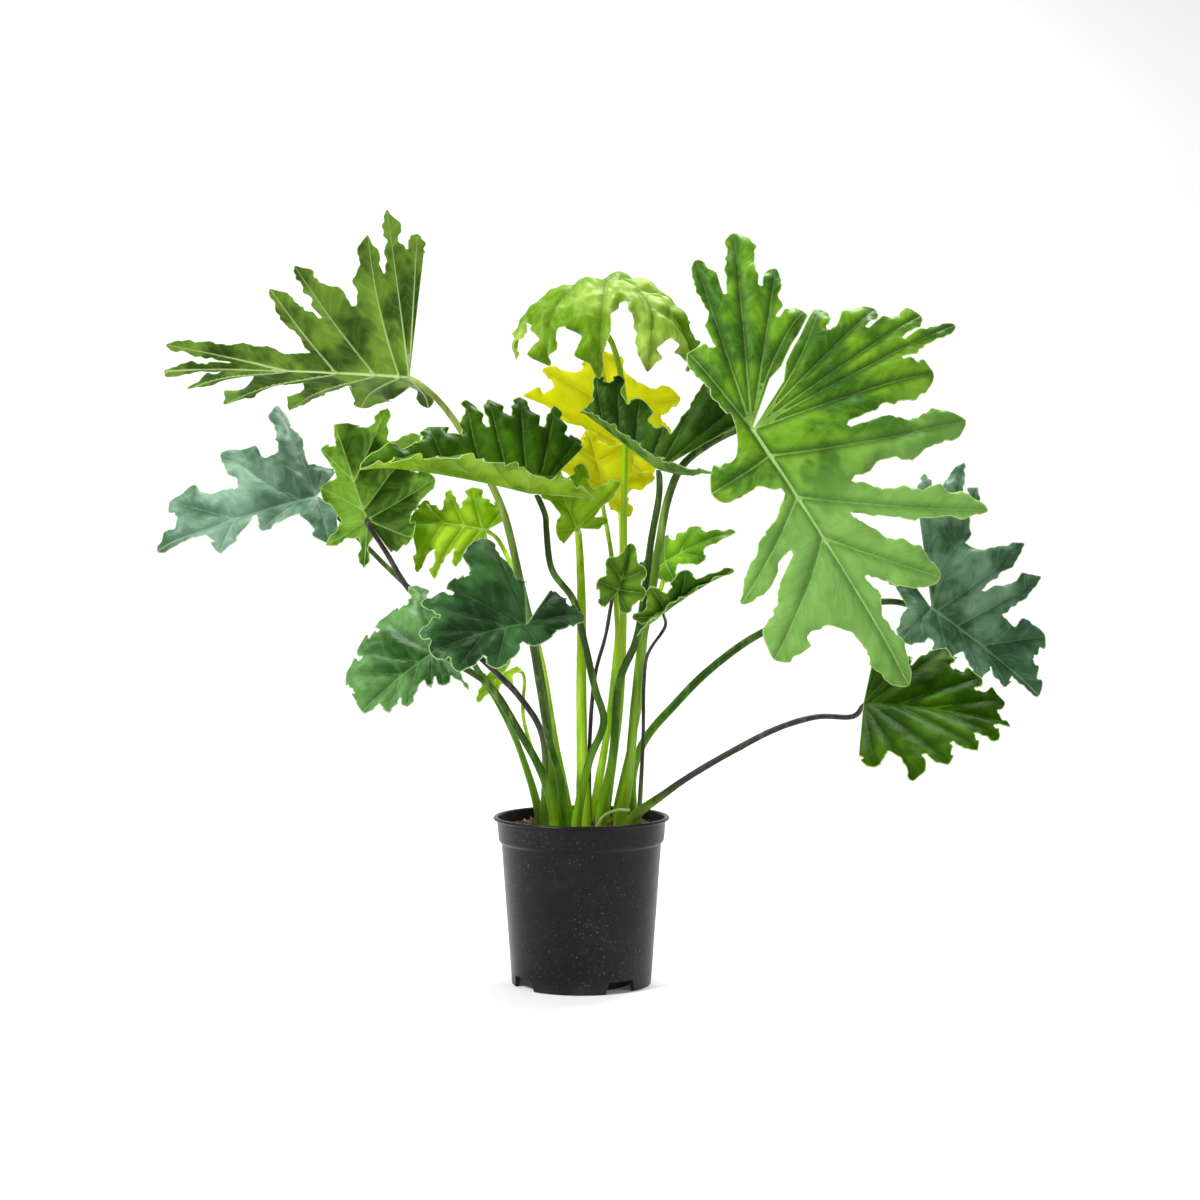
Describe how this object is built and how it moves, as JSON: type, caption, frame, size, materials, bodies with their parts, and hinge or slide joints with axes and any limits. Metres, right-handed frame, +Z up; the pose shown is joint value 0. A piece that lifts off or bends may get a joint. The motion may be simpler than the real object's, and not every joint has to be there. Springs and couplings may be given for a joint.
{
  "type": "potted lacy tree philodendron",
  "caption": "House plant with deeply lobed, ruffled green leaves on long arching leaf stalks, rooted in soil in a plain round black nursery pot.",
  "frame": {"origin": "centre of the pot's base on the surface it stands on", "axes": "+Z up out of the pot, +X to the right and +Y away as seen from the front, the -Y side"},
  "size_m": [0.9816, 0.3976, 0.8253],
  "materials": {
    "pot_black": "satin black injection-moulded plastic",
    "potting_soil": "loose moist potting soil with bark",
    "leaf_dark": "waxy dark green leaf",
    "leaf_green": "waxy mid green leaf",
    "leaf_young": "soft yellow-green young leaf",
    "stalk_green": "smooth yellow-green leaf stalk",
    "stalk_dark": "smooth dark green leaf stalk",
    "root_pale": "pale smooth aerial root"
  },
  "bodies": {
    "root": {"pot": "pot_black", "soil": "potting_soil", "aerial_root": "root_pale", "blade_upper_left": "leaf_green", "stalk_upper_left": "stalk_dark", "blade_far_left": "leaf_dark", "stalk_far_left": "stalk_dark", "blade_left": "leaf_green", "stalk_left": "stalk_dark", "blade_centre_left": "leaf_dark", "stalk_centre_left": "stalk_dark", "blade_young_left": "leaf_young", "stalk_young_left": "stalk_green", "blade_lower_left": "leaf_dark", "stalk_lower_left": "stalk_dark", "blade_lower_front": "leaf_dark", "stalk_lower_front": "stalk_dark", "blade_top": "leaf_young", "stalk_top": "stalk_green", "blade_back": "leaf_young", "stalk_back": "stalk_green", "blade_centre_right": "leaf_dark", "stalk_centre_right": "stalk_dark", "blade_great_right": "leaf_green", "stalk_great_right": "stalk_green", "blade_far_right": "leaf_dark", "stalk_far_right": "stalk_dark", "blade_lower_right": "leaf_green", "stalk_lower_right": "stalk_dark", "blade_centre": "leaf_young", "stalk_centre": "stalk_green", "blade_behind_right": "leaf_green", "stalk_behind_right": "stalk_green", "blade_rolled_right": "leaf_green", "stalk_rolled_right": "stalk_dark", "blade_cupped": "leaf_green", "stalk_cupped": "stalk_dark", "blade_low_back": "leaf_young", "stalk_low_back": "stalk_green", "blade_inner_right": "leaf_young", "stalk_inner_right": "stalk_green"}
  },
  "joints": []
}
